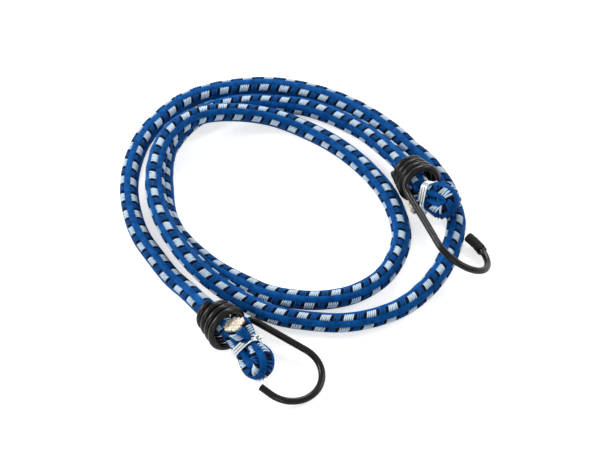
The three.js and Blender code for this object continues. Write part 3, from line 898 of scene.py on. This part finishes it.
def wire_tree():
    """Geometry nodes that draw a round wire along a line."""
    nodes, given = open_tree("wire_along_a_line", ("Wire diameter",), ("Sides",))
    curve = nodes.node("GeometryNodeMeshToCurve", {}, {"Mesh": given["Geometry"]})
    thickness = nodes.node(
        "GeometryNodeInputNamedAttribute", {"data_type": "FLOAT"}, {"Name": "thickness"})
    curve = nodes.node("GeometryNodeSetCurveRadius", {}, {"Curve": curve, "Radius": thickness})
    outline = nodes.node("GeometryNodeCurvePrimitiveCircle", {"mode": "RADIUS"}, {
        "Resolution": given["Sides"], "Radius": given["Wire diameter"] * 0.5})
    wire = nodes.node("GeometryNodeCurveToMesh", {}, {
        "Curve": curve, "Profile Curve": outline, "Fill Caps": True})
    return close_tree(nodes, wire, given["Finish"])


coating, shader, nodes = finish("black_coated_wire", roughness=0.25, gloss=0.22)
drift = nodes.noise(scale=90, detail=3)
grain = nodes.noise(scale=1600, detail=2)
scuffed = (drift * grain > scuff_level) * scuff_strength
feed(shader, "Base Color", scuffed.colour(paint(5, 5, 4), paint(66, 59, 50)))
feed(shader, "Roughness", drift * coating_roughness_spread + coating_roughness)
emboss(shader, grain, grain_height)
wires = wire_tree()
for name, hook in (("left_hook", left_hook), ("right_hook", right_hook)):
    hook_wire = grown(name + "_wire", wire_start(name + "_line", hook_path(hook)), wires, {
        "Wire diameter": wire_diameter, "Sides": wire_sides, "Finish": coating})
    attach(hook_wire, name)
    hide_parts(name)

# The cap on the right hook's tip: a thick sleeve of black plastic, dipped onto the wire so that its
# skin is rough and its mouth is torn and stepped.
cap_length = 0.0086
cap_wall = 0.00055
cap_gap = 0.00012
cap_end_wall = 0.0008
cap_sides = 40
cap_step = 0.00025
cap_seed = 3
cap_roughness = 0.00013
cap_round_share = 0.45
mouth_wave = 0.0005
mouth_waves = 3
mouth_wave_phase = 1
mouth_step = 0.0011
mouth_step_sine = 0.2
mouth_reach = 3 * mouth_step
mouth_thinning = 0.4
lump_height = 0.0004
path = hook_path(right_hook)
walked = np.concatenate(([0], np.cumsum([(b - a).length for a, b in zip(path, path[1:])])))
tip_distance = float(walked[-1])


def on_wire(distance):
    """A place on the right hook's wire, or straight ahead past its tip."""
    place = [float(np.interp(distance, walked, [point[k] for point in path])) for k in range(3)]
    beyond = max(0, distance - tip_distance)
    return Vector(place) + (path[-1] - path[-2]).normalized() * beyond


cap_bore_radius = wire_diameter / 2 + cap_gap
cap_outer_radius = cap_bore_radius + cap_wall
cap_start = tip_distance - cap_length
cap_end = tip_distance + cap_gap + cap_end_wall
steps = round((cap_end - cap_start) / cap_step)
chance = np.random.default_rng(cap_seed)
rough = chance.uniform(-1, 1, (steps + 2, cap_sides))
rough = (rough + np.roll(rough, 1, axis=1)) / 2
side = None
outer_rings, bore_rings = [], []
for step in range(steps + 1):
    distance = cap_start + (cap_end - cap_start) * step / steps
    ahead = (on_wire(distance + cap_step) - on_wire(distance - cap_step)).normalized()
    side = up.cross(ahead).normalized() if side is None else (side - ahead * side.dot(ahead)).normalized()
    top = ahead.cross(side)
    from_end = cap_end - distance
    rounding = cap_outer_radius * cap_round_share
    round_share = 1 if from_end > rounding else (
        1 - cap_round_share * (1 - math.sqrt(max(0, 1 - (1 - from_end / rounding) ** 2))))
    ring, bore_ring = [], []
    for corner in range(cap_sides):
        angle = math.tau * corner / cap_sides
        torn = mouth_wave * math.sin(mouth_waves * angle + mouth_wave_phase)
        if math.sin(angle) > mouth_step_sine:
            torn += mouth_step
        pull = max(0, 1 - (distance - cap_start) / mouth_reach) * torn
        outward = side * math.cos(angle) + top * math.sin(angle)
        radius = cap_outer_radius * round_share + cap_roughness * rough[step][corner]
        if step == 0:
            radius -= cap_wall * mouth_thinning
        ring.append(on_wire(distance) + ahead * pull + outward * radius)
        bore_ring.append(on_wire(distance) + ahead * pull + outward * cap_bore_radius)
    outer_rings.append(ring)
    if distance < tip_distance + cap_gap:
        bore_rings.append(bore_ring)
rings = outer_rings[::-1] + bore_rings
vertices = [point for ring in rings for point in ring]
faces = [tuple(range(cap_sides)), tuple(len(vertices) - 1 - corner for corner in range(cap_sides))]
for order in range(len(rings) - 1):
    # The rings run from the tip to the mouth, so each face is turned over to look outwards
    faces += [(first, *others[::-1]) for first, *others in wall_faces(cap_sides, order, order + 1)]
cap_mesh = mesh_of("tip_cap", vertices, faces=faces)
cap_mesh.shade_smooth()
cap = put_in_scene("tip_cap", cap_mesh)
plastic, shader, nodes = finish("dipped_plastic", roughness=0.6, gloss=0.15)
lumps = nodes.noise(scale=1100, detail=4)
feed(shader, "Base Color", lumps.colour(paint(4, 4, 4), paint(44, 43, 40)))
emboss(shader, lumps, lump_height)
cap_mesh.materials.append(plastic)
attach(cap, "right_hook")
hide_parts("right_tip_cap")

# The binding wires: soft bright wire wound tightly round both runs of each folded end, so that the
# fold can't pull back through the coil. The two ends are twisted together with pliers and cut short.
binding_diameter = 0.00095
binding_turns = 3
binding_pitch = 0.00105
binding_tilt = 0.6
binding_steps = 36
binding_sides = 12
binding_squeeze = 0.62
binding_dome_length = 0.0002
zinc_roughness = 0.15
zinc_roughness_spread = 0.3
winding_start = 0.25
flank_steepness = 4
tail_lead = 0.001
pigtail_length = 0.0013
pigtail_turns = 1.6
pigtail_steps = 24
search_step = 0.0005


def cord_direction(distance):
    return (along_cord(distance + station_step) - along_cord(distance - station_step)).normalized()


def binding_path(mouth_distance, inward, wind_distance):
    """The line of a binding wire, wound this far from the hook's mouth towards the fold."""
    tail_end = 0 if inward > 0 else cord_length
    main_distance = mouth_distance - inward * wind_distance
    main = along_cord(main_distance)
    count = round(abs(mouth_distance - tail_end) / 2 / search_step)
    tail_distance = min((tail_end + inward * search_step * index for index in range(1, count)),
                        key=lambda distance: (along_cord(distance) - main).length)
    tail_distance += inward * tail_lead
    ahead = (cord_direction(tail_distance) - cord_direction(main_distance)) * inward
    ahead.normalize()
    across = along_cord(tail_distance) - main
    across -= ahead * across.dot(ahead)
    half_span = across.length / 2
    across.normalize()
    middle = (main + along_cord(tail_distance)) / 2
    beside = across.cross(ahead)
    wind_radius = cord_radius * binding_squeeze + binding_diameter / 2
    lean = -binding_tilt if beside.dot(towards_camera) > 0 else binding_tilt
    wound = []
    for index in range(binding_turns * binding_steps + 1):
        turned = winding_start + index / binding_steps
        angle = turned * math.tau
        straight = half_span * max(-1, min(1, flank_steepness * math.sin(angle)))
        wound.append(middle + across * (wind_radius * math.sin(angle) + straight)
                     + beside * (wind_radius * math.cos(angle))
                     + ahead * ((turned - winding_start - binding_turns / 2) * binding_pitch
                                + lean * wind_radius * math.cos(angle)))
    root = (wound[0] + wound[-1]) / 2 + across * binding_diameter
    ends = []
    for half_turn in (math.pi, 0):
        end = []
        for index in range(pigtail_steps + 1):
            share = index / pigtail_steps
            angle = half_turn + share * pigtail_turns * math.tau
            end.append(root + across * (pigtail_length * share)
                       + (ahead * math.cos(angle) + beside * math.sin(angle)) * (binding_diameter / 2))
        ends.append(end)
    return [*reversed(ends[0]), *wound, *ends[1]]


zinc, shader, nodes = finish("bright_zinc_wire", roughness=0.3, metallic=1)
bloom = nodes.noise(scale=700, detail=3)
feed(shader, "Base Color", bloom.colour(paint(236, 240, 240), paint(178, 186, 190)))
feed(shader, "Roughness", bloom * zinc_roughness_spread + zinc_roughness)
for name, path in (
        ("left_binding_wire", binding_path(left_mouth_distance, 1, left_binding_distance)),
        ("right_binding_wire", binding_path(right_mouth_distance, -1, right_binding_distance))):
    start = wire_start(name + "_line", path, binding_dome_length)
    binding = grown(name.replace("wire", "winds"), start, wires, {
        "Wire diameter": binding_diameter, "Sides": binding_sides, "Finish": zinc})
    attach(binding, "cord")
    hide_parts(name)

# The studio: a wide pale floor that glows where it is seen, a white room, and a soft lamp on each side
floor_size = 3
floor_colour = (0.8, 0.8, 0.8, 1)
floor_glow = 0.66
room_light = 0.24
lamp_size = 0.4
lamps = [
    ("lamp_left", 8.5, (-0.9, 0.25, 0.6)),
    ("lamp_behind", 6.5, (0.1, 0.95, 0.65)),
    ("lamp_right", 3.5, (0.85, 0.25, 0.6)),
    ("lamp_front", 2, (-0.25, -0.9, 0.5)),
]
half = floor_size / 2
floor_mesh = mesh_of(
    "floor", [(-half, -half, 0), (half, -half, 0), (half, half, 0), (-half, half, 0)],
    faces=[(0, 1, 2, 3)])
floor = put_in_scene("floor", floor_mesh)


def seen_directly(nodes):
    """A mask that is 1 for what the camera sees, also in a reflection or through a clear piece."""
    rays = [nodes.node("ShaderNodeLightPath", {}, {}, output=name)
            for name in ("Is Camera Ray", "Is Glossy Ray", "Is Transmission Ray")]
    return nodes.sum("MINIMUM", rays[0] + rays[1] + rays[2], 1)


floor_finish, shader, nodes = finish("pale_floor", roughness=0.9, gloss=0)
shader.inputs["Base Color"].default_value = floor_colour
feed(shader, "Emission Color", seen_directly(nodes).colour((0, 0, 0, 1), (1, 1, 1, 1)))
shader.inputs["Emission Strength"].default_value = floor_glow
floor_mesh.materials.append(floor_finish)

bpy.context.scene.view_settings.view_transform = "Standard"
world = bpy.data.worlds.new("studio")
world.use_nodes = True
bpy.context.scene.world = world
background = world.node_tree.nodes["Background"]
seen = seen_directly(Output(world.node_tree))
feed(background, "Strength", seen * (1 - room_light) + room_light)
background.inputs["Color"].default_value = (1, 1, 1, 1)
for name, strength, place in lamps:
    light = bpy.data.lights.new(name, "AREA")
    light.size = lamp_size
    light.energy = strength
    lamp = put_in_scene(name, light)
    lamp.location = place
    lamp.rotation_euler = (view_target - Vector(place)).to_track_quat("-Z", "Y").to_euler()
